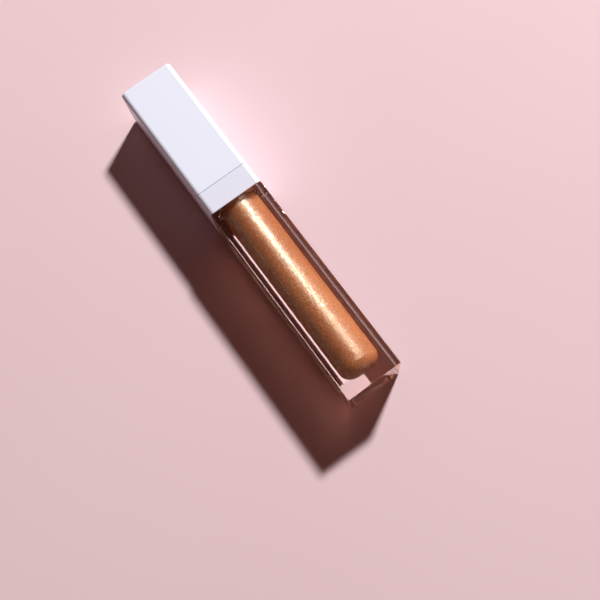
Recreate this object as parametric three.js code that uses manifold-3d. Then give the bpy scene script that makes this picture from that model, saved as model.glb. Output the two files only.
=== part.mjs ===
// Lip gloss tube: a clear square bottle, closed by a screw cap that carries the applicator wand.
// Millimetres, +Z up. The tube lies on one flat side, its long axis along X and its cap towards +X.
// Each piece is shaped upright, along +Z from the underside of the bottle, and the tube is then laid down.

import * as THREE from 'three';
import { mergeVertices } from 'three/addons/utils/BufferGeometryUtils.js';
import Module from 'manifold-3d';

const wasm = await Module();
wasm.setup();

// ---- driving dimensions -------------------------------------------------------------------

const side = 17; // width of the square section of bottle, collar and cap
const bottleLength = 64; // square body of the bottle
const collarLength = 6.8;
const capLength = 39.2;
const gap = 0.3; // clearance between neighbouring pieces

const bottleCorner = 0.4; // corner radius of the clear body
const bottleEdge = 0.25; // rounding round both ends of the clear body
const capCorner = 1.4; // corner radius of cap and collar
const capEndEdge = 0.4; // rounding round the closed end of the cap
const capEndWall = 1.7;

const boreRadius = 6; // the round well that holds the gloss
const baseThickness = 4.4; // clear material under the well
const wellCorner = 3.5; // rounding at the bottom of the well
const shoulderThickness = 0.9; // clear material over the well, round the neck
const shoulderRound = 0.6; // rounding at the top of the well
const seatHeight = 1.5; // round step under the neck, which the collar hides
const seatWall = 0.7; // clear material round the well in that step

const tipRadius = 2.1; // flocked applicator tip
const tipLength = 10;
const tipNose = 1.6; // rounding at the free end of the tip
const tipSlant = 6; // height of the slanted face of the doe foot
const tipSlantCut = 3; // how far the slanted face crosses the tip
const tipWall = 0.8;
const tipToBottom = 3.5; // from the tip down to the bottom of the well
const stemRadius = 1.5;
const plugClearance = 0.4; // round the wide part of the wand, in the mouth of the wiper
const plugLength = 3.7;
const barbHeight = 0.7;
const barbLength = 1.8;

const wiperStep = 0.5; // from the lip of the wiper out to its inner wall
const wiperWall = 0.5;
const wiperLength = 11;
const wiperLipLength = 2.5;
const wiperFlangeThickness = 0.8;
const wiperFlangeInset = 0.2; // the flange is this much smaller than the neck

const neckWall = 1;
const neckEngagement = 8.4; // how far the neck reaches into the cap
const neckChamfer = 0.35;
const threadPitch = 2.4;
const threadHeight = 0.5;
const threadInset = 0.1; // how far the middle of the thread's round section lies in the wall
const threadEnd = 1; // plain length at each end of the thread

const collarBeadHeight = 0.3; // snap bead on the neck that holds the collar
const collarBeadWidth = 1.2;
const keyWidth = 2; // two keys under the collar that keep its sides in line with the bottle
const keyLength = 1.5;
const keyHeight = 1.2;
const keyRoot = 0.4; // how far a key is sunk in the neck and the seat

const washerThickness = 1;
const washerInset = 0.5; // from the crest of the insert's thread in to the washer
const insertWall = 0.5;
const insertRecess = 0.4; // from the mouth of the cap in to the insert
const insertPlate = 1.6;
const bossWall = 0.8;
const bossHeight = 3;
const ribWidth = 1.2;
const ribEnd = 1; // plain length of the insert below its ribs

const glossRise = 0.9; // how far the gloss stands up in the neck
const hollowCorner = 0.4; // corner radius inside the cap

const finely = 36; // facets round the larger turned faces
const coarsely = 24; // facets round the smaller ones
const arcSteps = 5; // facets in a quarter round of a profile
const threadSteps = 20; // steps in one turn of a thread
const threadSides = 7;

// ---- places along the tube ----------------------------------------------------------------

const collarBottom = bottleLength + gap;
const collarTop = collarBottom + collarLength;
const seatTop = bottleLength + seatHeight;
const collarStep = seatTop + gap; // where the collar narrows from the seat to the neck
const beadMiddle = (collarStep + collarTop) / 2;
const capMouth = collarTop + gap;
const capTop = capMouth + capLength;
const neckTop = capMouth + neckEngagement;
const flangeBottom = neckTop + gap;
const flangeTop = flangeBottom + wiperFlangeThickness;
const washerBottom = flangeTop + gap;
const plateBottom = washerBottom + washerThickness + gap;
const plateTop = plateBottom + insertPlate;
const insertMouth = capMouth + insertRecess;
const wellTop = seatTop - shoulderThickness;
const tipBottom = baseThickness + tipToBottom;
const tipTop = tipBottom + tipLength;

// ---- radii, from the wand outwards --------------------------------------------------------

const channelRadius = Math.max(tipRadius, stemRadius) + gap; // free way for the wand
const wiperBore = channelRadius + wiperStep;
const plugRadius = wiperBore - plugClearance;
const wiperRadius = wiperBore + wiperWall;
const neckBore = wiperRadius + gap;
const neckRadius = neckBore + neckWall;
const seatRadius = boreRadius + seatWall;
const neckCrest = neckRadius + threadHeight;
const insertCrest = neckCrest + gap;
const insertBore = insertCrest + threadHeight;
const insertRadius = insertBore + insertWall;
const hollowHalf = insertRadius + gap; // half the width of the hollow in the cap

// ---- shaping ------------------------------------------------------------------------------

const weldDistance = 1e-4;
const past = 1; // how far a cutting body runs past the face that it opens

/** A geometry as a solid that can be joined and cut. */
function toSolid(geometry) {
  geometry.deleteAttribute('normal');
  geometry.deleteAttribute('uv');
  const welded = mergeVertices(geometry, weldDistance);
  const corners = welded.index.array;
  const triVerts = [];
  for (let i = 0; i < corners.length; i += 3) {
    const [a, b, c] = corners.slice(i, i + 3);
    if (a !== b && b !== c && c !== a) triVerts.push(a, b, c);
  }
  return new wasm.Manifold(new wasm.Mesh({
    numProp: 3,
    vertProperties: new Float32Array(welded.attributes.position.array),
    triVerts: new Uint32Array(triVerts),
  }));
}

/** A solid as a named mesh with its material. */
function toMesh(name, solid, material) {
  const { vertProperties, triVerts } = solid.getMesh();
  const geometry = new THREE.BufferGeometry();
  geometry.setAttribute('position', new THREE.BufferAttribute(vertProperties, 3));
  geometry.setIndex(new THREE.BufferAttribute(triVerts, 1));
  geometry.computeVertexNormals();
  const mesh = new THREE.Mesh(geometry, material);
  mesh.name = name;
  return mesh;
}

/** A body turned about the long axis, from [radius, height] points that run anticlockwise. */
function turned(profile, facets) {
  const points = profile.map(([radius, height]) => new THREE.Vector2(radius, height));
  return toSolid(new THREE.LatheGeometry(points, facets).rotateX(Math.PI / 2));
}

/** A plain round rod between two heights. */
function rod(radius, from, to, facets) {
  return turned([[0, from], [radius, from], [radius, to], [0, to]], facets);
}

/** A ring between two radii and two heights. */
function ring(inner, outer, from, to, facets) {
  return turned([[inner, from], [outer, from], [outer, to], [inner, to], [inner, from]], facets);
}

/** Points of an arc in a profile, its angles in quarter turns. */
function arc(radius, height, size, fromQuarter, toQuarter) {
  const points = [];
  for (let i = 0; i <= arcSteps; i += 1) {
    const angle = (fromQuarter + (toQuarter - fromQuarter) * i / arcSteps) * Math.PI / 2;
    points.push([radius + size * Math.cos(angle), height + size * Math.sin(angle)]);
  }
  return points;
}

/** The outline of a square with round corners, centred on the long axis. */
function roundedSquare(half, corner) {
  const shape = new THREE.Shape();
  const middle = half - corner;
  shape.absarc(middle, middle, corner, 0, Math.PI / 2);
  shape.absarc(-middle, middle, corner, Math.PI / 2, Math.PI);
  shape.absarc(-middle, -middle, corner, Math.PI, 1.5 * Math.PI);
  shape.absarc(middle, -middle, corner, 1.5 * Math.PI, 2 * Math.PI);
  return shape;
}

/** A square bar with round corners between two heights. */
function squareBar(half, corner, from, to) {
  const options = { depth: to - from, bevelEnabled: false, curveSegments: 3 };
  return toSolid(new THREE.ExtrudeGeometry(roundedSquare(half, corner), options).translate(0, 0, from));
}

/** The same bar with its edges rounded at both ends. */
function softSquareBar(half, corner, edge, from, to) {
  const options = {
    depth: to - from - 2 * edge,
    bevelEnabled: true,
    bevelThickness: edge,
    bevelSize: edge,
    bevelOffset: -edge,
    bevelSegments: 2,
    curveSegments: 3,
  };
  const shape = roundedSquare(half, corner);
  return toSolid(new THREE.ExtrudeGeometry(shape, options).translate(0, 0, from + edge));
}

/** A block given by its lowest corner and its size. */
function block(x, y, z, width, depth, height) {
  const geometry = new THREE.BoxGeometry(width, depth, height);
  return toSolid(geometry.translate(x + width / 2, y + depth / 2, z + height / 2));
}

/** The line that a right-handed thread follows, with each end drawn aside into the wall. */
class ThreadLine extends THREE.Curve {
  constructor(radius, runOut, from, to) {
    super();
    this.radius = radius;
    this.runOut = runOut;
    this.from = from;
    this.height = to - from;
  }

  getPoint(t, target = new THREE.Vector3()) {
    const turns = this.height / threadPitch;
    const fade = Math.max(0, 1 - Math.min(t, 1 - t) * turns * 6);
    const radius = this.radius + this.runOut * fade;
    const angle = 2 * Math.PI * turns * t;
    const height = this.from + this.height * t;
    return target.set(radius * Math.cos(angle), radius * Math.sin(angle), height);
  }
}

/** A thread ridge of round section. */
function threadRidge(line) {
  const section = new THREE.Shape();
  const size = threadHeight + threadInset;
  for (let i = 0; i < threadSides; i += 1) {
    const angle = 2 * Math.PI * i / threadSides;
    const place = [size * Math.cos(angle), size * Math.sin(angle)];
    if (i === 0) section.moveTo(...place);
    else section.lineTo(...place);
  }
  section.closePath();
  const steps = Math.ceil(threadSteps * line.height / threadPitch);
  return toSolid(new THREE.ExtrudeGeometry(section, { steps, extrudePath: line, bevelEnabled: false }));
}

// ---- pieces -------------------------------------------------------------------------------

/** The round well with its rounded bottom and shoulder, smaller all round by a margin. */
function wellProfile(margin) {
  const radius = boreRadius - margin;
  const bottom = baseThickness + margin;
  const top = wellTop - margin;
  const corner = Math.min(wellCorner, boreRadius) - margin;
  const shoulder = Math.min(shoulderRound, boreRadius - neckBore) - margin;
  return [
    [0, bottom],
    ...arc(radius - corner, bottom + corner, corner, 3, 4),
    ...arc(radius - shoulder, top - shoulder, shoulder, 0, 1),
  ];
}

function makeBottle() {
  const half = collarBeadWidth / 2;
  const neck = turned([
    [0, bottleLength - bottleEdge],
    [seatRadius, bottleLength - bottleEdge],
    [seatRadius, seatTop],
    [neckRadius, seatTop],
    [neckRadius, beadMiddle - half],
    [neckRadius + collarBeadHeight, beadMiddle - half / 3],
    [neckRadius + collarBeadHeight, beadMiddle + half / 3],
    [neckRadius, beadMiddle + half],
    [neckRadius, neckTop - neckChamfer],
    [neckRadius - neckChamfer, neckTop],
    [0, neckTop],
  ], finely);
  const ridgeLine = new ThreadLine(
    neckRadius - threadInset,
    -threadHeight,
    capMouth + threadEnd,
    neckTop - threadEnd,
  );
  const well = turned([...wellProfile(0), [neckBore, wellTop], [neckBore, neckTop + past],
    [0, neckTop + past]], finely);
  let bottle = softSquareBar(side / 2, bottleCorner, bottleEdge, 0, bottleLength);
  bottle = bottle.add(neck).add(threadRidge(ridgeLine));
  for (const key of makeKeys(0)) bottle = bottle.add(key);
  return bottle.subtract(well);
}

/** The two keys on the seat, or with a margin the slots that take them. */
function makeKeys(margin) {
  const width = keyWidth + 2 * margin;
  const inner = neckRadius - keyRoot;
  const length = keyRoot + keyLength + margin;
  const bottom = seatTop - keyRoot;
  const height = keyRoot + gap + keyHeight + margin;
  return [
    block(-width / 2, inner, bottom, width, length, height),
    block(-width / 2, -inner - length, bottom, width, length, height),
  ];
}

function makeCollar() {
  const half = collarBeadWidth / 2 + gap;
  const wide = seatRadius + gap;
  const hole = neckRadius + gap;
  const groove = hole + collarBeadHeight;
  const passage = turned([
    [0, collarBottom - past],
    [wide, collarBottom - past],
    [wide, collarStep],
    [hole, collarStep],
    [hole, beadMiddle - half],
    [groove, beadMiddle - half / 2],
    [groove, beadMiddle + half / 2],
    [hole, beadMiddle + half],
    [hole, collarTop + past],
    [0, collarTop + past],
  ], finely);
  let collar = squareBar(side / 2, capCorner, collarBottom, collarTop).subtract(passage);
  for (const slot of makeKeys(gap)) collar = collar.subtract(slot);
  return collar;
}

function makeWiper() {
  const lipTop = neckTop - wiperLength + wiperLipLength;
  const lipBottom = neckTop - wiperLength;
  const lipThickness = wiperWall;
  const flangeRadius = neckRadius - wiperFlangeInset;
  return turned([
    [channelRadius, lipBottom],
    [channelRadius + lipThickness, lipBottom],
    [wiperRadius, lipTop],
    [wiperRadius, flangeBottom],
    [flangeRadius, flangeBottom],
    [flangeRadius, flangeTop],
    [wiperBore, flangeTop],
    [wiperBore, lipTop],
    [channelRadius, lipBottom],
  ], coarsely);
}

function makeGloss() {
  const surface = wellTop + glossRise;
  const channelBottom = tipBottom - gap;
  return turned([
    ...wellProfile(gap),
    [neckBore - gap, wellTop - gap],
    [neckBore - gap, surface],
    [channelRadius, surface],
    [channelRadius, channelBottom],
    [0, channelBottom],
  ], coarsely);
}

function makeWasher() {
  return ring(plugRadius + gap, insertCrest - washerInset, washerBottom,
    washerBottom + washerThickness, coarsely);
}

function makeStem() {
  const core = tipRadius - tipWall - gap;
  const coreBottom = tipBottom + tipSlant + gap;
  const plugTop = plateBottom - gap;
  const barbBottom = plateTop + gap;
  const barbTop = barbBottom + barbLength;
  return turned([
    [0, coreBottom],
    [core, coreBottom],
    [core, tipTop + gap],
    [stemRadius, tipTop + gap],
    [stemRadius, plugTop - plugLength - (plugRadius - stemRadius)],
    [plugRadius, plugTop - plugLength],
    [plugRadius, plugTop],
    [stemRadius, plugTop],
    [stemRadius, barbBottom],
    [stemRadius + barbHeight, barbBottom],
    [stemRadius, barbTop],
    [0, barbTop],
  ], coarsely);
}

function makeTip() {
  const nose = Math.min(tipNose, tipRadius);
  const soft = Math.min(tipNose / 4, tipWall);
  const body = turned([
    [0, tipBottom],
    ...arc(tipRadius - nose, tipBottom + nose, nose, 3, 4),
    [tipRadius, tipTop - soft],
    [tipRadius - soft, tipTop],
    [0, tipTop],
  ], coarsely);
  const bore = rod(tipRadius - tipWall, tipBottom + tipSlant, tipTop + past, coarsely);
  const reach = tipLength;
  const angle = Math.atan2(tipSlantCut, tipSlant);
  const wedge = new THREE.BoxGeometry(reach, reach, 4 * reach);
  wedge.translate(reach / 2, 0, 0).rotateY(angle).translate(tipRadius, 0, tipBottom + tipSlant);
  return body.subtract(toSolid(wedge)).subtract(bore);
}

function makeInsert() {
  const hole = stemRadius + gap;
  const bossBore = stemRadius + barbHeight + gap;
  const shell = turned([
    [insertBore, insertMouth],
    [insertRadius, insertMouth],
    [insertRadius, plateTop],
    [bossBore + bossWall, plateTop],
    [bossBore + bossWall, plateTop + bossHeight],
    [bossBore, plateTop + bossHeight],
    [bossBore, plateTop],
    [hole, plateTop],
    [hole, plateBottom],
    [insertBore, plateBottom],
    [insertBore, insertMouth],
  ], finely);
  const envelope = rod(insertRadius, insertMouth, plateTop, finely);
  const ridgeLine = new ThreadLine(
    insertBore + threadInset,
    threadHeight,
    insertMouth + threadEnd,
    neckTop - threadEnd,
  );
  let insert = shell.add(threadRidge(ridgeLine).intersect(envelope));
  const ribReach = (hollowHalf - gap) * Math.SQRT2 - ribWidth / 2;
  const ribBottom = insertMouth + ribEnd;
  const ribInner = insertRadius - insertWall / 2;
  for (let quarter = 0; quarter < 4; quarter += 1) {
    const rib = new THREE.BoxGeometry(ribReach - ribInner, ribWidth, plateTop - ribBottom);
    rib.translate((ribReach + ribInner) / 2, 0, (plateTop + ribBottom) / 2);
    rib.rotateZ((quarter + 0.5) * Math.PI / 2);
    insert = insert.add(toSolid(rib));
  }
  return insert;
}

function makeCapShell() {
  const below = capMouth - 2 * capEndEdge - past;
  const outside = softSquareBar(side / 2, capCorner, capEndEdge, below, capTop);
  const mouthCut = block(-side, -side, below - past, 2 * side, 2 * side, capMouth - below + past);
  const hollow = squareBar(hollowHalf, hollowCorner, capMouth - past, capTop - capEndWall);
  return outside.subtract(mouthCut).subtract(hollow);
}

// ---- materials ----------------------------------------------------------------------------

function finish(color, roughness) {
  return new THREE.MeshStandardMaterial({ color, roughness, metalness: 0 });
}

const clearPlastic = finish(0xf3e9e6, 0.05);
clearPlastic.transparent = true;
clearPlastic.opacity = 0.35;
const whitePlastic = finish(0xeeedf2, 0.35);
const milkyPlastic = finish(0xdfe0e2, 0.45);
const washerFoam = finish(0xd9d9d6, 0.8);
const flock = finish(0xe9d9cf, 0.95);
const shimmerGloss = finish(0xb9743f, 0.3);
shimmerGloss.metalness = 0.3;

// ---- assembly -----------------------------------------------------------------------------

const tube = new THREE.Group();
tube.add(
  toMesh('bottle', makeBottle(), clearPlastic),
  toMesh('collar', makeCollar(), whitePlastic),
  toMesh('wiper', makeWiper(), milkyPlastic),
  toMesh('gloss_fill', makeGloss(), shimmerGloss),
  toMesh('sealing_washer', makeWasher(), washerFoam),
  toMesh('wand_stem', makeStem(), milkyPlastic),
  toMesh('doe_foot_tip', makeTip(), flock),
  toMesh('cap_insert', makeInsert(), milkyPlastic),
  toMesh('cap_shell', makeCapShell(), whitePlastic),
);
tube.rotation.y = Math.PI / 2;
tube.position.set(-capTop / 2, 0, side / 2);

const group = new THREE.Group();
group.add(tube);

export default group;
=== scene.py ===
"""Looks of the lip gloss tube: clear square bottle of shimmering gloss, white collar and cap, hidden wand.

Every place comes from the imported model's boxes. Sizes below are millimetres, turned to metres by MM.
"""

import math
import random

import bmesh
import bpy
import numpy as np
from mathutils import Matrix, Vector


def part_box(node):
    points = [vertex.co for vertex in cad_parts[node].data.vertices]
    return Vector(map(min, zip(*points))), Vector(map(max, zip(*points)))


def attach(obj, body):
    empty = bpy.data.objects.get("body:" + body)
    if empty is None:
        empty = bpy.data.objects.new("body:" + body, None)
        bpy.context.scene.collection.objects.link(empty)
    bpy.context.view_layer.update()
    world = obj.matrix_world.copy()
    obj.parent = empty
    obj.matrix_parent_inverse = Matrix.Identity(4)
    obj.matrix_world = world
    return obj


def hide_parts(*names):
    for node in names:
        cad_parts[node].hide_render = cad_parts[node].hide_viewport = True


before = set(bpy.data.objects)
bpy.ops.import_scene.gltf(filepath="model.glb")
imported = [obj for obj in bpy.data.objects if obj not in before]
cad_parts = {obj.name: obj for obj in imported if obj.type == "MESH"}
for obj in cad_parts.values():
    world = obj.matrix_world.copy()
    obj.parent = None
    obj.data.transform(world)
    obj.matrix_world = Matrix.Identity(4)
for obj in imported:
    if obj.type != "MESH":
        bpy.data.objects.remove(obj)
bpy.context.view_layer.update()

MM = 0.001

# ---- places and overall sizes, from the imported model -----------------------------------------

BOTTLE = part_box("bottle")
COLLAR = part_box("collar")
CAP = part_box("cap_shell")
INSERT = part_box("cap_insert")
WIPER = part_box("wiper")
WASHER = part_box("sealing_washer")
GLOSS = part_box("gloss_fill")
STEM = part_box("wand_stem")
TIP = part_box("doe_foot_tip")

BASE_X = BOTTLE[0].x
NECK_TOP_X = BOTTLE[1].x
CAP_END_X = CAP[1].x
AXIS_Z = (BOTTLE[0].z + BOTTLE[1].z) / 2
HALF = (BOTTLE[1].y - BOTTLE[0].y) / 2

# ---- sizes that the boxes don't tell ---------------------------------------------------------

CAD_GAP = 0.3 * MM  # clearance between neighbouring CAD pieces
SEAM = 0.08 * MM  # what shows of it between the cap and the collar
TOUCH = 0.03 * MM  # between the collar and the bottle's shoulder
FLAKES_LAID = (0.0, -0.13, 0.0)  # the way that the flakes lean in the gloss
BODY_END_X = COLLAR[0].x - CAD_GAP
COLLAR_END_X = COLLAR[1].x

BOTTLE_CORNER = 0.4 * MM
BOTTLE_EDGE = 0.25 * MM
WHITE_CORNER = 1.4 * MM  # long edges of cap and collar
WHITE_EDGE = 0.14 * MM  # their edges at the seam
CAP_END_EDGE = 0.45 * MM
CAP_END_WALL = 1.7 * MM
BORE = 6.0 * MM
BASE_THICKNESS = 4.4 * MM
WELL_CORNER = 3.5 * MM
SHOULDER_THICKNESS = 0.9 * MM
SHOULDER_ROUND = 0.6 * MM
SEAT_RADIUS = 6.7 * MM  # round step under the neck, hidden by the collar
SEAT_TOP_X = BODY_END_X + 1.5 * MM
WELL_TOP_X = SEAT_TOP_X - SHOULDER_THICKNESS
WET = 0.012 * MM  # how far the gloss reaches into the wall, so that no air shows between them

LIP_RADIUS = 2.4 * MM  # free way through the wiper's lip and the gloss
WIPER_BORE = 2.9 * MM
WIPER_RADIUS = 3.4 * MM
WIPER_LIP = 2.5 * MM
WIPER_FLANGE = 0.8 * MM
NECK_BORE = 3.7 * MM
NECK_RADIUS = 4.7 * MM
THREAD_HEIGHT = 0.5 * MM
THREAD_PITCH = 2.4 * MM
THREAD_END = 1.0 * MM  # plain stretch before and behind the ridge
THREAD_STEP = 0.09 * MM  # from ring to ring along it
THREAD_TOP_HALF = 0.12 * MM
THREAD_FOOT_HALF = 0.62 * MM
THREAD_FADE = 0.5 * MM  # in which the ridge rises from nothing at its ends
BEAD_HEIGHT = 0.3 * MM
BEAD_WIDTH = 1.2 * MM
BEAD_X = (SEAT_TOP_X + CAD_GAP + COLLAR_END_X) / 2
KEY_WIDTH = 2.0 * MM
KEY_LENGTH = 1.5 * MM
KEY_HEIGHT = 1.2 * MM
KEY_ROOT = 0.4 * MM

INSERT_BORE = 6.0 * MM
INSERT_RADIUS = (INSERT[1].y - INSERT[0].y) / 2
INSERT_PLATE = 1.6 * MM
BOSS_HEIGHT = 3.0 * MM
BOSS_BORE = 2.5 * MM
BOSS_RADIUS = 3.3 * MM
HOLE_RADIUS = 1.8 * MM
HOLLOW_HALF = 6.8 * MM
HOLLOW_CORNER = 0.4 * MM
RIB_WIDTH = 1.2 * MM
RIB_REACH = 8.59 * MM
RIB_ROOT = 0.25 * MM  # how far a rib stands in the wall of the insert

STEM_RADIUS = 1.5 * MM
CORE_RADIUS = 1.0 * MM
PLUG_RADIUS = 2.5 * MM
PLUG_LENGTH = 3.7 * MM
BARB_RADIUS = 2.2 * MM
BARB_LENGTH = 1.8 * MM
TIP_RADIUS = 2.1 * MM
TIP_BORE = 1.3 * MM
TIP_NOSE = 1.6 * MM
TIP_SLANT = 6.0 * MM
TIP_SLANT_CUT = 3.0 * MM
TIP_LENGTH = 10.0 * MM
TIP_RIM = 0.4 * MM
TIP_SLEEVE = 4.0 * MM  # the stretch with the stem's core in it
FIBRES = 5200
FIBRE_THICKNESS = 0.05 * MM
FIBRE_LENGTH = 0.17 * MM
FIBRE_ROOT = 0.05 * MM  # how deep a fibre stands in the skin

LAMP_COLOUR = (1.0, 0.99, 1.0)
LAMP_DIRECTION = (0.364, -0.667, 0.65)  # from the tube to the lamp
LAMP_DISTANCE = 2.0  # metres
LAMP_SIZE = 0.18  # metres
KEY_LAMP_WATTS = 58.0
SCATTERED_WATTS = 9.0
WORLD_COLOUR = (1.0, 0.46, 0.39, 1.0)
WORLD_STRENGTH = 0.075

BENT_BACK = 4.8 * MM  # how far the key's light runs back along the tube on its way down through the plastic
BENT_HEIGHT = 0.4 * MM  # of the two bent lights above the tube's underside
BENT_SPREAD = 60.0  # degrees
PATCH_START_X = BASE_X + 0.3 * MM  # the light patch under the thick base
PATCH_END_X = BASE_X + 6.0 * MM
PATCH_SIDES = (0.0, 8.2 * MM)
PATCH_STRENGTH = 2.9  # watts per square metre
STRIP_SIDES = (2.3 * MM, 6.1 * MM)  # the light strip beside the gloss
STRIP_STRENGTH = 4.0  # watts per square metre

AIR_BELOW = 0.04 * MM  # between the bottle and the floor it lies on
AROUND = 128  # points round a piece, a multiple of four
FLAT_POINTS = (0.0, 0.5, 0.96)  # supports along half a flat side


# ---- mesh tools --------------------------------------------------------------------------------


def square_ring(x, half, corner):
    """Points round a square with round corners, across the tube at x."""
    steps = AROUND // 4 - 2 * len(FLAT_POINTS)
    middle = half - corner
    quarter = [(half, t * middle) for t in FLAT_POINTS]
    for i in range(steps + 1):
        angle = math.pi / 2 * i / steps
        quarter.append((middle + corner * math.cos(angle), middle + corner * math.sin(angle)))
    quarter += [(t * middle, half) for t in reversed(FLAT_POINTS[1:])]
    points = []
    for turn in range(4):
        c, s = round(math.cos(turn * math.pi / 2)), round(math.sin(turn * math.pi / 2))
        points += [(x, c * y - s * z, AXIS_Z + s * y + c * z) for y, z in quarter]
    return points


def round_ring(x, radius):
    """Points round a circle across the tube at x. The radius may be a function of the angle."""
    points = []
    for i in range(AROUND):
        angle = 2 * math.pi * i / AROUND
        r = radius(angle) if callable(radius) else radius
        points.append((x, r * math.cos(angle), AXIS_Z + r * math.sin(angle)))
    return points


def pole(x):
    """A ring shrunk to a point on the axis."""
    return [(x, 0.0, AXIS_Z)] * AROUND


def arc_steps(quarter_from, quarter_to, steps):
    """Cosines and sines along an arc, its ends in quarter turns."""
    for i in range(steps + 1):
        angle = math.pi / 2 * (quarter_from + (quarter_to - quarter_from) * i / steps)
        yield math.cos(angle), math.sin(angle)


def round_arc(x, radius, edge, quarters, steps):
    """Round rings along an arc with the radius edge, whose centre is at x and radius."""
    return [round_ring(x + edge * s, radius + edge * c) for c, s in arc_steps(*quarters, steps)]


def square_arc(x, half, corner, edge, quarters, steps):
    """Square rings along such an arc. Their corners grow and shrink with them."""
    return [
        square_ring(x + edge * s, half + edge * c, corner + edge * c)
        for c, s in arc_steps(*quarters, steps)
    ]


def bead_rings(half_width, radius, parts):
    """Round rings over the bead or through its groove, each at a part of the half width from its middle."""
    rings = []
    for t in parts:
        swell = BEAD_HEIGHT * (math.cos(math.pi * t) + 1) / 2
        rings.append(round_ring(BEAD_X + t * half_width, radius + swell))
    return rings


def loft(name, rings, around_hole=False):
    """A closed mesh through rings of points that run along the outside and back through the inside."""
    count = len(rings[0])
    mesh = bpy.data.meshes.new(name)
    vertices = [point for ring in rings for point in ring]
    faces = []
    last = len(rings) if around_hole else len(rings) - 1
    for k in range(last):
        a, b = k * count, (k + 1) % len(rings) * count
        for i in range(count):
            j = (i + 1) % count
            faces.append((a + i, b + i, b + j, a + j))
    mesh.from_pydata(vertices, [], faces)
    work = bmesh.new()
    work.from_mesh(mesh)
    bmesh.ops.remove_doubles(work, verts=work.verts, dist=1e-8)
    bmesh.ops.dissolve_degenerate(work, edges=work.edges, dist=1e-8)
    bmesh.ops.recalc_face_normals(work, faces=work.faces)
    work.to_mesh(mesh)
    work.free()
    piece = bpy.data.objects.new(name, mesh)
    bpy.context.scene.collection.objects.link(piece)
    return piece


def cuboid(size, middle):
    """A box, still to be bevelled, turned and made an object."""
    work = bmesh.new()
    bmesh.ops.create_cube(work, size=1.0)
    bmesh.ops.scale(work, verts=work.verts, vec=size)
    bmesh.ops.translate(work, verts=work.verts, vec=middle)
    return work


def as_object(work, name):
    """An object with the mesh that was worked on."""
    mesh = bpy.data.meshes.new(name)
    work.to_mesh(mesh)
    work.free()
    block = bpy.data.objects.new(name, mesh)
    bpy.context.scene.collection.objects.link(block)
    return block


def smooth(piece, sharp_degrees=38.0):
    """Smooth shading that keeps flat faces flat and real edges crisp."""
    for polygon in piece.data.polygons:
        polygon.use_smooth = True
    piece.data.set_sharp_from_angle(angle=math.radians(sharp_degrees))
    weighted = piece.modifiers.new("even_normals", "WEIGHTED_NORMAL")
    weighted.keep_sharp = True
    weighted.weight = 80
    return piece


def apply_modifiers(piece):
    """Puts the result of a piece's modifiers in its mesh."""
    graph = bpy.context.evaluated_depsgraph_get()
    result = bpy.data.meshes.new_from_object(piece.evaluated_get(graph))
    piece.modifiers.clear()
    piece.data = result


def combine(piece, other, operation):
    """Joins other to the piece or cuts it away, and removes other."""
    boolean = piece.modifiers.new(operation, "BOOLEAN")
    boolean.operation = operation
    boolean.solver = "EXACT"
    boolean.object = other
    apply_modifiers(piece)
    bpy.data.objects.remove(other)


def finish_piece(piece, body, node, material):
    """Hands a finished piece over: its material, the body it rides on and the CAD node it stands for."""
    piece.data.materials.clear()
    piece.data.materials.append(material)
    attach(piece, body)
    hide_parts(node)
    return piece


# ---- node tools --------------------------------------------------------------------------------


class Shader:
    """A material's node tree, with short ways to add and link nodes."""

    def __init__(self, name):
        self.material = bpy.data.materials.new(name)
        self.material.use_nodes = True
        self.tree = self.material.node_tree
        self.tree.nodes.clear()
        self.output = self.tree.nodes.new("ShaderNodeOutputMaterial")

    def add(self, kind, inputs=None, **settings):
        """A node, its settings made and each input linked to a socket or set to a value."""
        node = self.tree.nodes.new("ShaderNode" + kind)
        for key, value in settings.items():
            setattr(node, key, value)
        for key, value in (inputs or {}).items():
            if isinstance(value, bpy.types.NodeSocket):
                self.tree.links.new(value, node.inputs[key])
            else:
                node.inputs[key].default_value = value
        return node

    def place(self):
        """Where a point is on the piece, in metres."""
        return self.add("TexCoord").outputs["Object"]

    def stretched(self, factors):
        """The same, with each axis scaled."""
        scale = self.add("VectorMath", {0: self.place(), 1: factors}, operation="MULTIPLY")
        return scale.outputs["Vector"]

    def noise(self, scale, detail=2.0, vector=None):
        """Noise from 0 to 1 over the piece, or over another vector."""
        inputs = {"Vector": vector or self.place(), "Scale": scale, "Detail": detail}
        return self.add("TexNoise", inputs).outputs["Fac"]

    def spread(self, value, low, high, to_low=0.0, to_high=1.0):
        """Value from low..high mapped to to_low..to_high and held there."""
        inputs = {"Value": value, "From Min": low, "From Max": high, "To Min": to_low, "To Max": to_high}
        return self.add("MapRange", inputs).outputs["Result"]

    def maths(self, operation, a, b=0.0):
        """The result of one sum on two values."""
        return self.add("Math", {0: a, 1: b}, operation=operation).outputs["Value"]

    def colours(self, factor, first, second):
        """The first colour where the factor is 0, the second where it is 1, and a blend between."""
        mix = self.add("Mix", data_type="RGBA")
        sockets = [s for s in mix.inputs if s.enabled]
        for socket, value in zip(sockets, (factor, first, second)):
            if isinstance(value, bpy.types.NodeSocket):
                self.tree.links.new(value, socket)
            else:
                socket.default_value = value
        return next(s for s in mix.outputs if s.enabled)

    def bump(self, height, distance, strength=1.0, normal=None):
        """A normal tilted by a height, on top of another normal if there is one."""
        inputs = {"Height": height, "Distance": distance, "Strength": strength}
        if normal is not None:
            inputs["Normal"] = normal
        return self.add("Bump", inputs).outputs["Normal"]

    def finish(self, shader):
        """Links the last shader to the output and gives the material."""
        self.tree.links.new(shader.outputs[0], self.output.inputs["Surface"])
        return self.material


# ---- materials ---------------------------------------------------------------------------------


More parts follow.
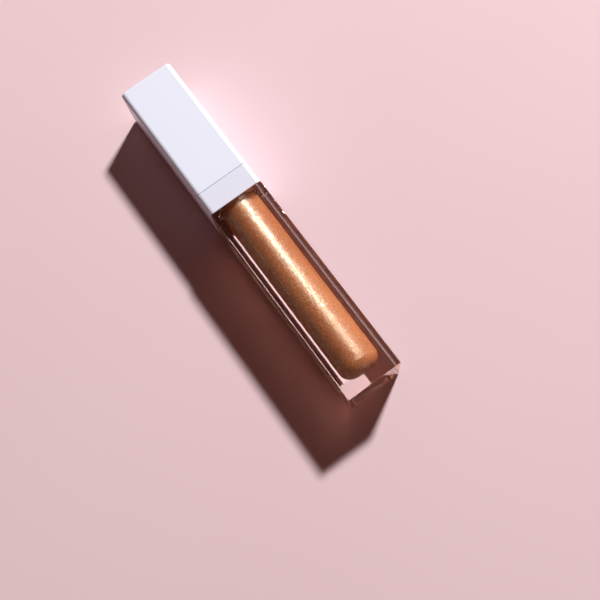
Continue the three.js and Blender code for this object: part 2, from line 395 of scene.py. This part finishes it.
def clear_plastic():
    """Polished clear plastic with faint waves. Lamps shine straight on what is set in it.

    Lamp light that would come out again on the far side is left to the two bent lights. Light that has
    bounced off something is tinted more than light that comes straight to the eye. This stands in for the
    brown that the gloss gives to its walls and to the shadow.
    """
    seen_tint = (0.985, 0.95, 0.92, 1.0)
    bounced_tint = (0.55, 0.22, 0.15, 1.0)
    lamp_tint = (0.93, 0.90, 0.89, 1.0)
    black = (0.0, 0.0, 0.0, 1.0)
    s = Shader("clear_plastic")
    path = s.add("LightPath")
    inside = s.add("NewGeometry").outputs["Backfacing"]
    direct = s.maths("LESS_THAN", path.outputs["Diffuse Depth"], 0.5)
    let_in = s.colours(s.maths("MULTIPLY", inside, direct), black, lamp_tint)
    waves = s.noise(120.0, 1.0)
    scuffs = s.noise(2500.0, 2.0, s.stretched((0.1, 1.0, 1.0)))
    tint = s.colours(direct, bounced_tint, seen_tint)
    glass = s.add("BsdfPrincipled", {
        "Base Color": tint,
        "Roughness": 0.0,
        "IOR": 1.49,
        "Transmission Weight": 1.0,
        "Normal": s.bump(scuffs, 0.0002 * MM, normal=s.bump(waves, 0.0015 * MM)),
    })
    passing = s.add("BsdfTransparent", {"Color": let_in})
    mix = s.add("MixShader", {0: path.outputs["Is Shadow Ray"], 1: glass.outputs[0], 2: passing.outputs[0]})
    return s.finish(mix)


def shimmer_gloss():
    """Thick amber-brown gloss, full of fine mica flakes of many tilts and a few coarse ones. Its pale gold
    grain and coarse dots are painted into the body colour, partly the flakes' own colour and partly painted
    sparkle and glints.
    """
    s = Shader("shimmer_gloss")
    flow = s.noise(110.0, 4.0, s.stretched((0.25, 1.0, 1.0)))
    flake_grain_and_sparkle = s.noise(4200.0, 1.0)
    shade = s.colours(s.spread(flow, 0.35, 0.7), (0.29, 0.10, 0.032, 1.0), (0.37, 0.15, 0.058, 1.0))
    # Pale gold grain in the body colour: partly the fine flakes' own colour, partly painted sparkle that
    # shows alike in light and shade.
    shade = s.colours(s.spread(flake_grain_and_sparkle, 0.55, 0.8, 0.0, 0.25), shade, (0.70, 0.44, 0.24, 1.0))
    # A few pale gold dots in the body colour: coarse flakes, partly painted glints that show in shade as well
    # as in light.
    coarse = s.add("TexVoronoi", {"Vector": s.place(), "Scale": 1500.0}, feature="F1")
    chosen = s.add("SeparateColor", {"Color": coarse.outputs["Color"]}).outputs["Red"]
    round_off = s.spread(coarse.outputs["Distance"], 0.14, 0.22, 1.0, 0.0)
    coarse_flake_and_glint = s.maths("MULTIPLY", s.spread(chosen, 0.955, 0.96), round_off)
    shade = s.colours(coarse_flake_and_glint, shade, (0.95, 0.72, 0.42, 1.0))
    syrup = s.add("BsdfPrincipled", {
        "Base Color": shade,
        "Roughness": 0.5,
        "IOR": 1.45,
        "Specular IOR Level": 0.1,
        "Subsurface Weight": 0.9,
        "Subsurface Radius": (1.0, 0.4, 0.2),
        "Subsurface Scale": 9.0 * MM,
    })
    fine = s.add("TexVoronoi", {"Vector": s.place(), "Scale": 7500.0}, feature="F1").outputs["Color"]
    tilt = s.add("VectorMath", {0: fine, 1: (0.5, 0.5, 0.5)}, operation="SUBTRACT")
    lean = s.add("VectorMath", {0: tilt.outputs[0], "Scale": 0.17}, operation="SCALE")
    normal = s.add("NewGeometry").outputs["Normal"]
    leaning = s.add("VectorMath", {0: normal, 1: lean.outputs[0]}, operation="ADD")
    laid = s.add("VectorMath", {0: leaning.outputs[0], 1: FLAKES_LAID}, operation="ADD")
    flake_normal = s.add("VectorMath", {0: laid.outputs[0]}, operation="NORMALIZE").outputs[0]
    mica = s.add("BsdfPrincipled", {
        "Base Color": (1.0, 0.90, 0.66, 1.0),
        "Specular Tint": (0.8, 0.45, 0.2, 1.0),
        "Roughness": 0.34,
        "Metallic": 1.0,
        "Normal": flake_normal,
    })
    drift = s.add("TexVoronoi", {"Vector": s.place(), "Scale": 4600.0}, feature="F1").outputs["Color"]
    share = s.spread(s.add("SeparateColor", {"Color": drift}).outputs["Green"], 0.35, 1.0, 0.03, 0.24)
    mix = s.add("MixShader", {0: share, 1: syrup.outputs[0], 2: mica.outputs[0]})
    return s.finish(mix)


def moulded_white(name, colour, roughness):
    """Smooth white moulded plastic with a faint orange peel and finger marks."""
    s = Shader(name)
    marks = s.noise(60.0, 4.0)
    peel = s.noise(1500.0, 2.0)
    skin = s.bump(peel, 0.0016 * MM)
    shade = s.colours(s.spread(marks, 0.3, 0.75), colour, tuple(0.975 * c for c in colour[:3]) + (1.0,))
    plastic = s.add("BsdfPrincipled", {
        "Base Color": shade,
        "Roughness": s.spread(marks, 0.3, 0.7, roughness, roughness + 0.08),
        "IOR": 1.5,
        "Normal": skin,
    })
    return s.finish(plastic)


def milky_plastic(name, colour, roughness):
    """Unpigmented polypropylene or polyethylene: cloudy, light passes a little way in."""
    s = Shader(name)
    cloud = s.noise(350.0, 3.0)
    shade = s.colours(s.spread(cloud, 0.3, 0.7), colour, tuple(0.94 * c for c in colour[:3]) + (1.0,))
    plastic = s.add("BsdfPrincipled", {
        "Base Color": shade,
        "Roughness": s.spread(cloud, 0.3, 0.7, roughness, roughness + 0.12),
        "IOR": 1.5,
        "Subsurface Weight": 0.3,
        "Subsurface Radius": (0.9 * MM, 0.8 * MM, 0.7 * MM),
        "Subsurface Scale": 1.0,
        "Normal": s.bump(s.noise(2600.0, 2.0), 0.003 * MM),
    })
    return s.finish(plastic)


def foam():
    """Soft foamed liner with fine cells."""
    s = Shader("foam")
    cells = s.add("TexVoronoi", {"Vector": s.place(), "Scale": 5200.0}, feature="F1").outputs["Distance"]
    shade = s.colours(s.spread(cells, 0.1, 0.6), (0.66, 0.66, 0.63, 1.0), (0.86, 0.86, 0.83, 1.0))
    plastic = s.add("BsdfPrincipled", {
        "Base Color": shade,
        "Roughness": s.spread(cells, 0.1, 0.6, 0.9, 0.75),
        "Normal": s.bump(cells, 0.03 * MM),
    })
    return s.finish(plastic)


def wand_plastic():
    """The white rod: clean at the cap, filmed with gloss below the wiper's lip."""
    s = Shader("wand_plastic")
    along = s.add("SeparateXYZ", {"Vector": s.place()}).outputs["X"]
    ripple = s.noise(700.0, 3.0, s.stretched((0.4, 1.0, 1.0)))
    edge = s.maths("ADD", along, s.maths("MULTIPLY", ripple, 3.0 * MM))
    film = s.spread(edge, WIPER[0].x, WIPER[0].x + 2.5 * MM, 1.0, 0.0)
    thick = s.maths("MULTIPLY", film, s.spread(ripple, 0.35, 0.7, 0.35, 0.85))
    shade = s.colours(thick, (0.82, 0.82, 0.81, 1.0), (0.55, 0.29, 0.13, 1.0))
    plastic = s.add("BsdfPrincipled", {
        "Base Color": shade,
        "Roughness": s.spread(film, 0.0, 1.0, 0.32, 0.14),
        "IOR": 1.5,
        "Normal": s.bump(ripple, 0.02 * MM, 0.6),
    })
    return s.finish(plastic)


def wet_flock():
    """Short nylon fibres, wet with gloss."""
    s = Shader("wet_flock")
    tufts = s.noise(3200.0, 3.0)
    shade = s.colours(s.spread(tufts, 0.3, 0.7), (0.34, 0.15, 0.065, 1.0), (0.74, 0.46, 0.25, 1.0))
    fibres = s.add("BsdfPrincipled", {
        "Base Color": shade,
        "Roughness": s.spread(tufts, 0.3, 0.7, 0.28, 0.6),
        "Sheen Weight": 0.35,
        "Normal": s.bump(tufts, 0.04 * MM),
    })
    return s.finish(fibres)


def pale_floor():
    """Plain pale blush paper."""
    s = Shader("pale_floor")
    tone = s.noise(9.0, 2.0)
    tooth = s.noise(2400.0, 2.0)
    shade = s.colours(s.spread(tone, 0.3, 0.7), (0.78, 0.58, 0.60, 1.0), (0.765, 0.565, 0.585, 1.0))
    paper = s.add("BsdfPrincipled", {
        "Base Color": shade,
        "Roughness": 0.75,
        "Specular IOR Level": 0.3,
        "Normal": s.bump(tooth, 0.01 * MM),
    })
    return s.finish(paper)


# ---- pieces ------------------------------------------------------------------------------------


def thread_height(x, angle, start, end):
    """How far a right-handed ridge stands out at a place and angle round the tube, from 0 to 1."""
    if not start <= x <= end:
        return 0.0
    turns = (x - start) / THREAD_PITCH - (angle + math.pi / 2) / (2 * math.pi)
    offset = abs(turns - round(turns)) * THREAD_PITCH
    rise = min(1.0, max(0.0, (THREAD_FOOT_HALF - offset) / (THREAD_FOOT_HALF - THREAD_TOP_HALF)))
    fade = min(1.0, (x - start) / THREAD_FADE, (end - x) / THREAD_FADE)
    return rise * rise * (3 - 2 * rise) * fade


def well_rings(grow):
    """The well from its bottom to the foot of the neck, larger all round by grow."""
    steps = 14
    radius = BORE + grow
    corner = WELL_CORNER + grow
    shoulder = SHOULDER_ROUND + grow
    bottom = BASE_X + BASE_THICKNESS - grow
    top = WELL_TOP_X + grow
    rings = [pole(bottom), round_ring(bottom, 0.5 * (radius - corner))]
    rings += round_arc(bottom + corner, radius - corner, corner, (3, 4), steps)
    for part in (0.02, 0.34, 0.66, 0.98):
        rings.append(round_ring(bottom + corner + part * (top - shoulder - bottom - corner), radius))
    rings += round_arc(top - shoulder, radius - shoulder, shoulder, (0, 1), steps // 2)
    rings.append(round_ring(top, NECK_BORE + 0.4 * MM))
    return rings


def key_block(side, margin):
    """One of the two keys on the bottle's seat, or with a margin the slot that takes it."""
    low = Vector((SEAT_TOP_X - KEY_ROOT, NECK_RADIUS - KEY_ROOT, AXIS_Z - KEY_WIDTH / 2 - margin))
    high = Vector((SEAT_TOP_X + CAD_GAP + KEY_HEIGHT + margin, NECK_RADIUS + KEY_LENGTH + margin,
                   AXIS_Z + KEY_WIDTH / 2 + margin))
    work = cuboid(high - low, (low + high) / 2)
    bmesh.ops.bevel(work, geom=work.edges[:], offset=0.12 * MM, segments=2, affect="EDGES", profile=0.5)
    if side < 0:
        bmesh.ops.rotate(work, verts=work.verts, cent=(0, 0, AXIS_Z), matrix=Matrix.Rotation(math.pi, 3, "X"))
    return as_object(work, "key")


def make_bottle():
    """Thick-walled square bottle, in one piece with its seat, keys, bead and threaded neck."""
    inner = HALF - BOTTLE_EDGE
    rings = [pole(BASE_X)]
    for part in (0.3, 0.7, 0.98):
        rings.append(square_ring(BASE_X, inner * part, max(0.12 * MM, (BOTTLE_CORNER - BOTTLE_EDGE) * part)))
    for c, s in arc_steps(3, 4, 6):
        rings.append(square_ring(BASE_X + BOTTLE_EDGE + BOTTLE_EDGE * s, inner + BOTTLE_EDGE * c,
                                 BOTTLE_CORNER - BOTTLE_EDGE * (1 - c)))
    body = BODY_END_X - BASE_X
    for part in (0.01, 0.25, 0.5, 0.75, 0.99):
        rings.append(square_ring(BASE_X + BOTTLE_EDGE + part * (body - 2 * BOTTLE_EDGE), HALF, BOTTLE_CORNER))
    for c, s in arc_steps(0, 1, 6):
        rings.append(square_ring(BODY_END_X - BOTTLE_EDGE + BOTTLE_EDGE * s, inner + BOTTLE_EDGE * c,
                                 BOTTLE_CORNER - BOTTLE_EDGE * (1 - c)))
    rings.append(square_ring(BODY_END_X, inner * 0.98, BOTTLE_CORNER - BOTTLE_EDGE))
    fillet = 0.2 * MM
    rings += round_arc(BODY_END_X + fillet, SEAT_RADIUS + fillet, fillet, (3, 2), 3)
    rings += round_arc(SEAT_TOP_X - fillet, SEAT_RADIUS - fillet, fillet, (0, 1), 3)
    rings += round_arc(SEAT_TOP_X + fillet, NECK_RADIUS + fillet, fillet, (3, 2), 3)
    rings += bead_rings(BEAD_WIDTH / 2, NECK_RADIUS, np.linspace(-1, 1, 13))
    start = COLLAR_END_X + CAD_GAP + THREAD_END
    end = NECK_TOP_X - THREAD_END
    for x in np.arange(start, end, THREAD_STEP):
        rings.append(round_ring(
            x, lambda a, x=x: NECK_RADIUS + THREAD_HEIGHT * thread_height(x, a, start, end)))
    lip = 0.25 * MM
    rings.append(round_ring(NECK_TOP_X - 1.5 * lip, NECK_RADIUS))
    rings += round_arc(NECK_TOP_X - lip, NECK_RADIUS - lip, lip, (0, 1), 4)
    rings += round_arc(NECK_TOP_X - lip, NECK_BORE + lip, lip, (1, 2), 4)
    rings.append(round_ring(SEAT_TOP_X, NECK_BORE))
    foot = 0.3 * MM
    rings += round_arc(WELL_TOP_X + foot, NECK_BORE + foot, foot, (2, 3), 4)
    rings += reversed(well_rings(0.0))
    bottle = loft("clear_bottle", rings)
    for side in (1, -1):
        combine(bottle, key_block(side, 0.0), "UNION")
    smooth(bottle)
    return finish_piece(bottle, "vial", "bottle", clear_plastic())


def make_gloss():
    """The gloss in the well and the foot of the neck, with a channel for the wand."""
    surface = GLOSS[1].x
    neck = NECK_BORE + WET
    edge = 0.2 * MM
    rings = well_rings(WET)
    rings += [round_ring(WELL_TOP_X + WET, neck), round_ring(surface - edge, neck)]
    rings += round_arc(surface - edge, neck - edge, edge, (0, 1), 4)
    end = TIP[0].x - CAD_GAP
    round_end = 0.8 * MM
    rings += [round_ring(surface, LIP_RADIUS), round_ring(surface - 0.3 * MM, LIP_RADIUS)]
    rings += round_arc(end + round_end, LIP_RADIUS - round_end, round_end, (0, -1), 6)
    rings.append(pole(end))
    gloss = smooth(loft("gloss_in_the_well", rings))
    return finish_piece(gloss, "vial", "gloss_fill", shimmer_gloss())


def make_collar():
    """White square ring with slots for the keys and a groove for the bead."""
    start = BODY_END_X + TOUCH
    end = COLLAR_END_X
    edge = WHITE_EDGE
    hole = NECK_RADIUS + CAD_GAP
    wide = SEAT_RADIUS + CAD_GAP
    step = SEAT_TOP_X + CAD_GAP
    rings = []
    rings += square_arc(start + edge, HALF - edge, WHITE_CORNER - edge, edge, (3, 4), 4)
    for part in (0.03, 0.5, 0.97):
        rings.append(square_ring(start + edge + part * (end - start - 2 * edge), HALF, WHITE_CORNER))
    rings += square_arc(end - edge, HALF - edge, WHITE_CORNER - edge, edge, (0, 1), 4)
    rings.append(square_ring(end, (HALF - edge) * 0.97, WHITE_CORNER - edge))
    rings += [round_ring(end, hole + 0.3 * MM), round_ring(end - 0.3 * MM, hole)]
    rings += bead_rings(BEAD_WIDTH / 2 + CAD_GAP, hole, np.linspace(1, -1, 13))
    rings += [round_ring(step, hole), round_ring(step, wide)]
    rings += [round_ring(start + edge, wide), round_ring(start, wide + edge)]
    rings.append(square_ring(start, (HALF - edge) * 0.98, WHITE_CORNER - edge))
    collar = loft("white_collar", rings, around_hole=True)
    for side in (1, -1):
        combine(collar, key_block(side, CAD_GAP), "DIFFERENCE")
    smooth(collar)
    # The collar's white is darker and more lilac than the cap's: painted shade for a face that lies a little
    # off the light.
    material = moulded_white("collar_plastic", (0.78, 0.79, 0.90, 1.0), 0.34)
    return finish_piece(collar, "vial", "collar", material)


def make_cap():
    """White square outer cap, hollow from its mouth to the end wall."""
    start = COLLAR_END_X + SEAM
    inside_end = CAP_END_X - CAP_END_WALL
    edge = WHITE_EDGE
    rings = [pole(inside_end)]
    for part in (0.4, 0.96):
        rings.append(square_ring(inside_end, HOLLOW_HALF * part, HOLLOW_CORNER))
    rings.append(square_ring(inside_end, HOLLOW_HALF, HOLLOW_CORNER))
    for part in (0.98, 0.5, 0.02):
        rings.append(square_ring(start + part * (inside_end - start), HOLLOW_HALF, HOLLOW_CORNER))
    rings.append(square_ring(start, HOLLOW_HALF + 0.1 * MM, HOLLOW_CORNER))
    rings += square_arc(start + edge, HALF - edge, WHITE_CORNER - edge, edge, (3, 4), 4)
    length = CAP_END_X - start
    for part in (0.01, 0.34, 0.67, 0.985):
        rings.append(square_ring(start + part * length, HALF, WHITE_CORNER))
    round_end = CAP_END_EDGE
    rings += square_arc(
        CAP_END_X - round_end, HALF - round_end, WHITE_CORNER - round_end, round_end, (0, 1), 8)
    for part in (0.97, 0.5):
        rings.append(square_ring(CAP_END_X, (HALF - round_end) * part, (WHITE_CORNER - round_end) * part))
    rings.append(pole(CAP_END_X))
    cap = smooth(loft("white_cap", rings))
    material = moulded_white("cap_plastic", (0.83, 0.86, 0.97, 1.0), 0.3)
    return finish_piece(cap, "cap", "cap_shell", material)


def rib_block(quarter, start, end):
    """A rib that reaches from the insert into one corner of the square shell."""
    inner = INSERT_RADIUS - RIB_ROOT
    size = (end - start, RIB_REACH - inner, RIB_WIDTH)
    work = cuboid(size, Vector(((end + start) / 2, (RIB_REACH + inner) / 2, 0.0)))
    outer = [e for e in work.edges if min(v.co.y for v in e.verts) > inner + 0.1 * MM]
    bmesh.ops.bevel(work, geom=outer, offset=0.15 * MM, segments=3, affect="EDGES", profile=0.5)
    turn = Matrix.Rotation((quarter + 0.5) * math.pi / 2, 4, "X")
    bmesh.ops.transform(work, verts=work.verts, matrix=Matrix.Translation((0, 0, AXIS_Z)) @ turn)
    return as_object(work, "rib")


def make_insert():
    """Threaded inner cap with its plate, the boss that takes the wand, and four ribs."""
    mouth = INSERT[0].x
    plate_top = INSERT[1].x - BOSS_HEIGHT
    plate_bottom = plate_top - INSERT_PLATE
    boss_top = INSERT[1].x
    edge = 0.15 * MM
    rings = []
    rings += round_arc(mouth + edge, INSERT_RADIUS - edge, edge, (3, 4), 3)
    rings += round_arc(plate_top - edge, INSERT_RADIUS - edge, edge, (0, 1), 3)
    rings += [round_ring(plate_top, BOSS_RADIUS + 0.2 * MM), round_ring(plate_top + 0.2 * MM, BOSS_RADIUS)]
    rings += round_arc(boss_top - edge, BOSS_RADIUS - edge, edge, (0, 1), 3)
    rings += round_arc(boss_top - edge, BOSS_BORE + edge, edge, (1, 2), 3)
    rings += [round_ring(plate_top, BOSS_BORE), round_ring(plate_top, HOLE_RADIUS + edge)]
    rings += [round_ring(plate_top - edge, HOLE_RADIUS), round_ring(plate_bottom, HOLE_RADIUS)]
    rings.append(round_ring(plate_bottom, INSERT_BORE - 0.4 * MM))
    rings.append(round_ring(plate_bottom - 0.4 * MM, INSERT_BORE))
    start, end = mouth + THREAD_END, NECK_TOP_X - THREAD_END
    for x in np.arange(end, start, -THREAD_STEP):
        rings.append(round_ring(
            x, lambda a, x=x: INSERT_BORE - THREAD_HEIGHT * thread_height(x, a, start, end)))
    rings += [round_ring(mouth + edge, INSERT_BORE), round_ring(mouth, INSERT_BORE + edge)]
    insert = loft("cap_insert_threaded", rings, around_hole=True)
    for quarter in range(4):
        combine(insert, rib_block(quarter, mouth + 1.0 * MM, plate_top), "UNION")
    smooth(insert)
    material = milky_plastic("insert_plastic", (0.80, 0.80, 0.79, 1.0), 0.36)
    return finish_piece(insert, "cap", "cap_insert", material)


def make_wiper():
    """Plug in the neck with a flange on its rim and a narrow lip at its lower end."""
    bottom, top = WIPER[0].x, WIPER[1].x
    flange_bottom = top - WIPER_FLANGE
    flange = (WIPER[1].y - WIPER[0].y) / 2
    lip_top = bottom + WIPER_LIP
    edge = 0.12 * MM
    bend = 0.2 * MM
    round_mouth = 0.3 * MM
    rings = [round_ring(bottom, LIP_RADIUS), round_ring(bottom, LIP_RADIUS + 0.4 * MM)]
    rings += [round_ring(bottom + 0.15 * MM, LIP_RADIUS + 0.53 * MM)]
    rings.append(round_ring(lip_top - bend, WIPER_RADIUS - 0.02 * MM))
    rings.append(round_ring(lip_top + bend, WIPER_RADIUS))
    rings.append(round_ring(flange_bottom - 0.15 * MM, WIPER_RADIUS))
    rings.append(round_ring(flange_bottom, WIPER_RADIUS + 0.15 * MM))
    rings += round_arc(flange_bottom + edge, flange - edge, edge, (3, 4), 3)
    rings += round_arc(top - edge, flange - edge, edge, (0, 1), 3)
    rings += round_arc(top - round_mouth, WIPER_BORE + round_mouth, round_mouth, (1, 2), 4)
    rings.append(round_ring(lip_top + bend, WIPER_BORE))
    rings.append(round_ring(lip_top - bend, WIPER_BORE - 0.03 * MM))
    wiper = smooth(loft("neck_wiper", rings, around_hole=True))
    material = milky_plastic("wiper_plastic", (0.80, 0.81, 0.82, 1.0), 0.42)
    return finish_piece(wiper, "vial", "wiper", material)


def make_washer():
    """Soft ring round the wand's plug, its four edges rounded."""
    bottom, top = WASHER[0].x, WASHER[1].x
    outer = (WASHER[1].y - WASHER[0].y) / 2
    inner = PLUG_RADIUS + CAD_GAP
    edge = 0.2 * MM
    rings = round_arc(bottom + edge, inner + edge, edge, (2, 3), 4)
    rings += round_arc(bottom + edge, outer - edge, edge, (3, 4), 4)
    rings += round_arc(top - edge, outer - edge, edge, (0, 1), 4)
    rings += round_arc(top - edge, inner + edge, edge, (1, 2), 4)
    washer = smooth(loft("foam_washer", rings, around_hole=True))
    return finish_piece(washer, "seal", "sealing_washer", foam())


def make_stem():
    """The wand's rod: a thin core for the tip, the rod, its plug, and the barb above the insert's plate."""
    core_start, top = STEM[0].x, STEM[1].x
    core_end = TIP[1].x + CAD_GAP
    barb_bottom = top - BARB_LENGTH
    plug_top = barb_bottom - CAD_GAP - INSERT_PLATE - CAD_GAP
    plug_start = plug_top - PLUG_LENGTH
    edge = 0.15 * MM
    rings = [pole(core_start), round_ring(core_start, CORE_RADIUS - edge)]
    rings += [round_ring(core_start + edge, CORE_RADIUS), round_ring(core_end, CORE_RADIUS)]
    rings += round_arc(core_end + edge, STEM_RADIUS - edge, edge, (3, 4), 4)
    for part in (0.33, 0.66):
        rings.append(round_ring(core_end + part * (plug_start - core_end), STEM_RADIUS))
    cone = PLUG_RADIUS - STEM_RADIUS
    for t in np.linspace(0, 1, 9):
        ease = t * t * (3 - 2 * t)
        rings.append(round_ring(plug_start - cone + t * cone, STEM_RADIUS + ease * cone))
    rings += round_arc(plug_top - edge, PLUG_RADIUS - edge, edge, (0, 1), 4)
    rings += [round_ring(plug_top, STEM_RADIUS), round_ring(barb_bottom, STEM_RADIUS)]
    rings.append(round_ring(barb_bottom, BARB_RADIUS - 0.1 * MM))
    rings.append(round_ring(barb_bottom + 0.15 * MM, BARB_RADIUS))
    rings.append(round_ring(top - 0.25 * MM, STEM_RADIUS + 0.1 * MM))
    rings.append(round_ring(top, STEM_RADIUS - 0.15 * MM))
    rings.append(pole(top))
    stem = smooth(loft("wand_rod", rings))
    return finish_piece(stem, "wand", "wand_stem", wand_plastic())


def slant_wedge(corner_x):
    """What is cut off the underside of the tip to give its slanted face."""
    reach = 12.0 * MM
    work = cuboid((4 * reach, reach, reach), (0.0, 0.0, -reach / 2))
    slant = Matrix.Rotation(math.atan2(TIP_SLANT_CUT, TIP_SLANT), 4, "Y")
    corner = Matrix.Translation((corner_x, 0.0, AXIS_Z - TIP_RADIUS))
    bmesh.ops.transform(work, verts=work.verts, matrix=corner @ slant)
    return as_object(work, "wedge")


def make_tip():
    """Slanted, flocked applicator tip, a sleeve on the stem's core."""
    bottom = TIP[1].x - TIP_LENGTH
    top = TIP[1].x
    rings = [pole(bottom)]
    rings += round_arc(bottom + TIP_NOSE, TIP_RADIUS - TIP_NOSE, TIP_NOSE, (3, 4), 10)
    rings += round_arc(top - TIP_RIM, TIP_RADIUS - TIP_RIM, TIP_RIM, (0, 1), 5)
    rim = 0.1 * MM
    rings += round_arc(top - rim, TIP_BORE + rim, rim, (1, 2), 3)
    rings += [round_ring(bottom + TIP_SLANT, TIP_BORE), pole(bottom + TIP_SLANT)]
    tip = loft("flocked_tip", rings)
    combine(tip, slant_wedge(bottom + TIP_SLANT), "DIFFERENCE")
    remesh = tip.modifiers.new("even_skin", "REMESH")
    remesh.mode = "VOXEL"
    remesh.voxel_size = 0.1 * MM
    soften = tip.modifiers.new("soft_edges", "SMOOTH")
    soften.iterations = 6
    apply_modifiers(tip)
    add_fibres(tip)
    smooth(tip, 60.0)
    return finish_piece(tip, "cap", "doe_foot_tip", wet_flock())


def takes_fibres(polygon):
    """Whether a face is on the skin of the tip and not in the bore of its sleeve."""
    from_axis = math.hypot(polygon.center.y, polygon.center.z - AXIS_Z)
    return from_axis > TIP_BORE + 0.15 * MM or polygon.center.x < TIP[1].x - TIP_SLEEVE


def add_fibres(piece):
    """Short flock fibres standing on the skin of the tip, the same ones every run."""
    most_lean = 0.55
    shortest = 0.55
    draw = random.Random(7)
    mesh = piece.data
    polygons = [p for p in mesh.polygons if takes_fibres(p)]
    weights = np.cumsum([p.area for p in polygons])
    work = bmesh.new()
    work.from_mesh(mesh)
    for _ in range(FIBRES):
        polygon = polygons[int(np.searchsorted(weights, draw.random() * weights[-1]))]
        outward = polygon.normal.copy()
        lean = Vector([draw.uniform(-most_lean, most_lean) for _ in range(3)])
        direction = (outward + lean).normalized()
        side = direction.orthogonal().normalized()
        other = direction.cross(side)
        root = polygon.center - FIBRE_ROOT * outward
        reach = FIBRE_LENGTH * draw.uniform(shortest, 1.0)
        foot = []
        for k in range(3):
            angle = 2 * math.pi * k / 3
            across = math.cos(angle) * side + math.sin(angle) * other
            foot.append(work.verts.new(root + FIBRE_THICKNESS / 2 * across))
        end = work.verts.new(root + reach * direction)
        for k in range(3):
            work.faces.new((foot[k], foot[(k + 1) % 3], end))
        work.faces.new((foot[2], foot[1], foot[0]))
    work.to_mesh(mesh)
    work.free()


# ---- floor, light and camera -------------------------------------------------------------------


def make_floor():
    """A wide flat sheet, just under the bottle."""
    mesh = bpy.data.meshes.new("floor")
    reach = 3.0  # metres to each side
    corners = [(-reach, -reach), (reach, -reach), (reach, reach), (-reach, reach)]
    mesh.from_pydata([(x, y, -AIR_BELOW) for x, y in corners], [], [(0, 1, 2, 3)])
    floor = bpy.data.objects.new("floor", mesh)
    bpy.context.scene.collection.objects.link(floor)
    mesh.materials.append(pale_floor())
    return floor


def make_lamp(name, watts):
    """A square softbox that shines at the middle of the tube."""
    lamp = bpy.data.lights.new(name, "AREA")
    lamp.shape = "SQUARE"
    lamp.size = LAMP_SIZE
    lamp.energy = watts
    lamp.color = LAMP_COLOUR
    holder = bpy.data.objects.new(name, lamp)
    direction = Vector(LAMP_DIRECTION).normalized()
    middle = Vector((0.0, 0.0, AXIS_Z))
    holder.location = middle + LAMP_DISTANCE * direction
    holder.rotation_euler = direction.to_track_quat("Z", "Y").to_euler()
    bpy.context.scene.collection.objects.link(holder)
    return holder


def shine_only_on(holder, piece):
    """Keeps a lamp to one piece, with no shadow of any other."""
    lit = bpy.data.collections.new(holder.name)
    lit.objects.link(piece)
    holder.light_linking.receiver_collection = lit
    holder.light_linking.blocker_collection = lit


def make_bent_light(name, low, high, strength, floor):
    """Lamp light that leaves the clear plastic through its underside, where no shadow ray finds the lamp.

    It falls on the floor between two places across the tube's length and width, and on nothing else.
    """
    lamp = bpy.data.lights.new(name, "AREA")
    lamp.shape = "RECTANGLE"
    lamp.size, lamp.size_y = high[0] - low[0], high[1] - low[1]
    lamp.spread = math.radians(BENT_SPREAD)
    lamp.energy = strength * lamp.size * lamp.size_y
    lamp.color = LAMP_COLOUR
    holder = bpy.data.objects.new(name, lamp)
    holder.location = ((low[0] + high[0]) / 2, (low[1] + high[1]) / 2, BENT_HEIGHT)
    for kind in ("camera", "glossy", "transmission"):
        setattr(holder, "visible_" + kind, False)
    bpy.context.scene.collection.objects.link(holder)
    shine_only_on(holder, floor)


def make_world():
    """Weak reddish light from all round, which fills the shadow."""
    world = bpy.data.worlds.new("studio")
    bpy.context.scene.world = world
    world.use_nodes = True
    background = world.node_tree.nodes["Background"]
    background.inputs["Color"].default_value = WORLD_COLOUR
    background.inputs["Strength"].default_value = WORLD_STRENGTH


def make_camera():
    """Nearly overhead, from beyond the bottle's base, turned so that the tube lies across the frame."""
    distance = 251.2 * MM
    elevation = math.radians(74.87)
    heading = math.radians(-19.57)
    roll = math.radians(16.84)
    target = Vector((-23.67 * MM, 2.04 * MM, 8.5 * MM))
    look = Vector((
        math.cos(elevation) * math.cos(heading),
        math.cos(elevation) * math.sin(heading),
        -math.sin(elevation),
    ))
    level = look.cross(Vector((0, 0, 1))).normalized()
    upright = level.cross(look)
    up = math.cos(roll) * upright + math.sin(roll) * level
    right = look.cross(up)
    camera = bpy.data.cameras.new("camera")
    camera.sensor_width = 36.0
    camera.lens = 54.3
    camera.clip_start = 0.01
    camera.clip_end = 20.0
    holder = bpy.data.objects.new("camera", camera)
    holder.matrix_world = Matrix((
        (right.x, up.x, -look.x, 0), (right.y, up.y, -look.y, 0), (right.z, up.z, -look.z, 0), (0, 0, 0, 1)))
    holder.location = target - distance * look
    bpy.context.scene.collection.objects.link(holder)
    bpy.context.scene.camera = holder


make_camera()
make_bottle()
gloss = make_gloss()
make_collar()
make_cap()
make_insert()
make_wiper()
make_washer()
make_stem()
make_tip()
make_world()
make_lamp("key", KEY_LAMP_WATTS)
scattered = make_lamp("scattered_in_the_plastic", SCATTERED_WATTS)
shine_only_on(scattered, gloss)
ground = make_floor()
make_bent_light("beside_the_gloss", (PATCH_END_X, STRIP_SIDES[0]), (BODY_END_X - BENT_BACK, STRIP_SIDES[1]),
                STRIP_STRENGTH, ground)
make_bent_light("under_the_base", (PATCH_START_X, PATCH_SIDES[0]), (PATCH_END_X, PATCH_SIDES[1]),
                PATCH_STRENGTH, ground)
bpy.context.scene.view_settings.view_transform = "Standard"
